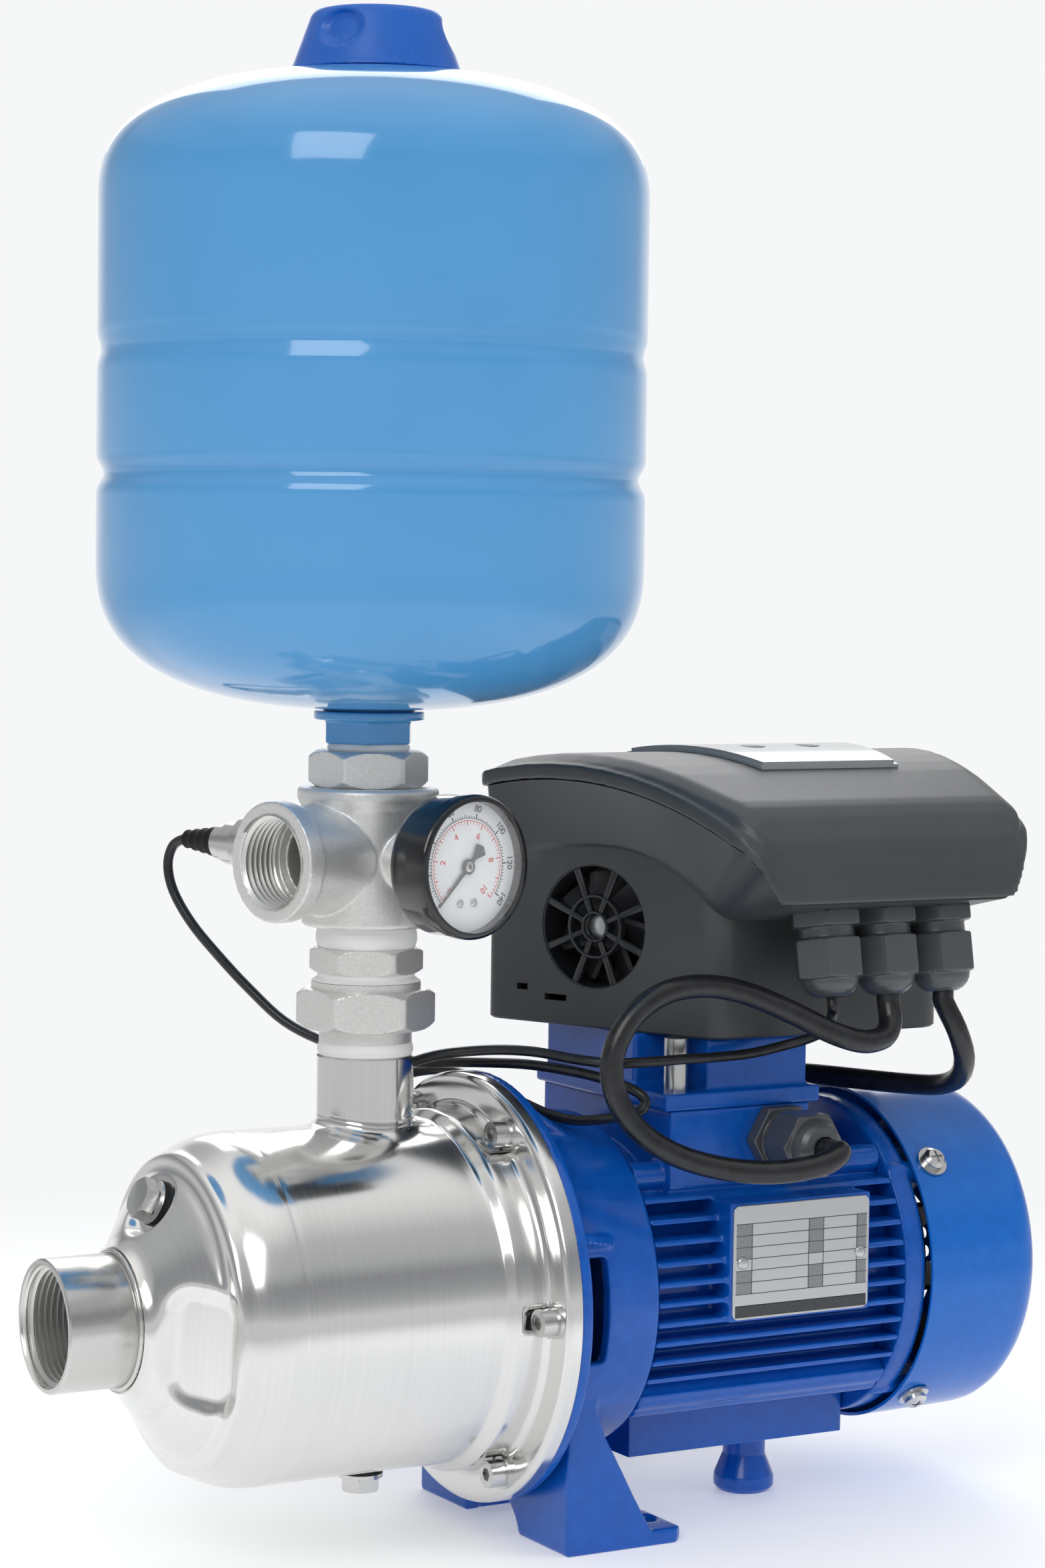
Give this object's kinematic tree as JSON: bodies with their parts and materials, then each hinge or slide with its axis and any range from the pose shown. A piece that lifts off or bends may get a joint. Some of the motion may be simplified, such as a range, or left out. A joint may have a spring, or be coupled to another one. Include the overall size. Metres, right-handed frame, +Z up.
{
  "type": "horizontal multistage pump",
  "caption": "Horizontal multistage water pump with a steel casing, finned motor, speed controller on top, and a riser with gauge, sensor and pressure tank.",
  "frame": {"origin": "on the floor, midway between the two foot bolts, below the shaft axis", "axes": "+X along the shaft from the suction socket to the fan cover, +Z up"},
  "size_m": [0.3886, 0.2975, 0.5504],
  "materials": {
    "stainless": "satin",
    "steel": "polished",
    "ceramic": "polished",
    "rubber": "matt",
    "blue_paint": "glossy",
    "laminations": "bare",
    "copper": "varnished",
    "black_plastic": "matt",
    "bare_aluminium": "satin",
    "blue_plastic": "satin",
    "grey_panel": "glossy",
    "dark_keys": "satin",
    "board": "lacquered",
    "white_tape": "matt",
    "black_enamel": "glossy",
    "white_enamel": "satin",
    "glass": "clear",
    "tank_blue": "glossy",
    "brass": "bare",
    "cap_blue": "glossy",
    "cable_sheath": "satin"
  },
  "bodies": {
    "pump": {"pump_casing": "stainless", "pipe_sockets": "stainless", "casing_screws": "steel", "casing_seals": "rubber", "seal_plate": "stainless", "stage_bowls": "stainless", "seal_seat": "ceramic", "motor_bracket": "blue_paint", "motor_frame": "blue_paint", "stator_core": "laminations", "stator_winding": "copper", "bearings": "steel", "rear_end_shield": "blue_paint", "tie_bolts": "steel", "fan_cover": "blue_paint", "fan_cover_screws": "steel", "nameplate": "bare_aluminium", "motor_foot": "blue_plastic", "controller_adapter": "blue_paint", "adapter_bolts": "steel", "motor_cable_gland": "black_plastic", "controller_housing": "black_plastic", "controller_lid": "black_plastic", "display_panel": "grey_panel", "heat_sink": "bare_aluminium", "circuit_board": "board", "cooling_fan_frame": "black_plastic", "cable_glands": "black_plastic", "pipe_union": "stainless", "hex_nipple": "stainless", "thread_tape": "white_tape", "five_way_body": "stainless", "tank_bushing": "steel", "gauge_case": "black_enamel", "gauge_dial": "white_enamel", "gauge_glass": "glass", "pressure_transducer": "steel", "tank_shell": "tank_blue", "tank_connection": "tank_blue", "tank_bladder": "rubber", "tank_air_valve": "brass", "sensor_cable": "cable_sheath", "motor_cable": "cable_sheath", "supply_cable": "cable_sheath", "supply_coil": "cable_sheath", "coil_tie": "cable_sheath", "supply_plug": "cable_sheath"},
    "rotor": {"rotor_shaft": "steel", "impellers": "stainless", "impeller_nut": "steel", "rotating_seal": "rubber", "rotor_core": "laminations", "motor_fan": "black_plastic"},
    "pointer": {"gauge_pointer": "black_enamel"},
    "cooling_fan": {"cooling_fan_rotor": "black_plastic"},
    "cap": {"tank_cap": "cap_blue"},
    "key_left": {"left_key": "dark_keys"},
    "key_right": {"right_key": "dark_keys"},
    "filler": {"filling_plug": "steel"},
    "drain": {"drain_plug": "steel"}
  },
  "joints": [
    {"name": "rotor_spin", "type": "hinge", "parent": "pump", "child": "rotor", "pos_m": [0, 0, 0.09], "axis": [1, 0, 0], "continuous": true},
    {"name": "pointer_sweep", "type": "hinge", "parent": "pump", "child": "pointer", "pos_m": [-0.098, 0, 0.2496], "axis": [-0.2453, 0.9694, 0], "range_deg": [0, 270]},
    {"name": "cooling_fan_spin", "type": "hinge", "parent": "pump", "child": "cooling_fan", "pos_m": [-0.00156, 0.0015, 0.2205], "axis": [-0.913, -0.4079, 0], "continuous": true},
    {"name": "cap_lift", "type": "slide", "parent": "pump", "child": "cap", "axis": [0, 0, 1], "range_m": [0, 0.03]},
    {"name": "left_key_press", "type": "slide", "parent": "pump", "child": "key_left", "axis": [0, 0, -1], "range_m": [0, 0.0005], "stiffness_N_per_m": 600},
    {"name": "right_key_press", "type": "slide", "parent": "pump", "child": "key_right", "axis": [0, 0, -1], "range_m": [0, 0.0005], "stiffness_N_per_m": 600},
    {"name": "filler_lift", "type": "slide", "parent": "pump", "child": "filler", "axis": [-0.9272, 0, 0.3746], "range_m": [0, 0.015]},
    {"name": "drain_lift", "type": "slide", "parent": "pump", "child": "drain", "axis": [0, 0, -1], "range_m": [0, 0.011]}
  ]
}
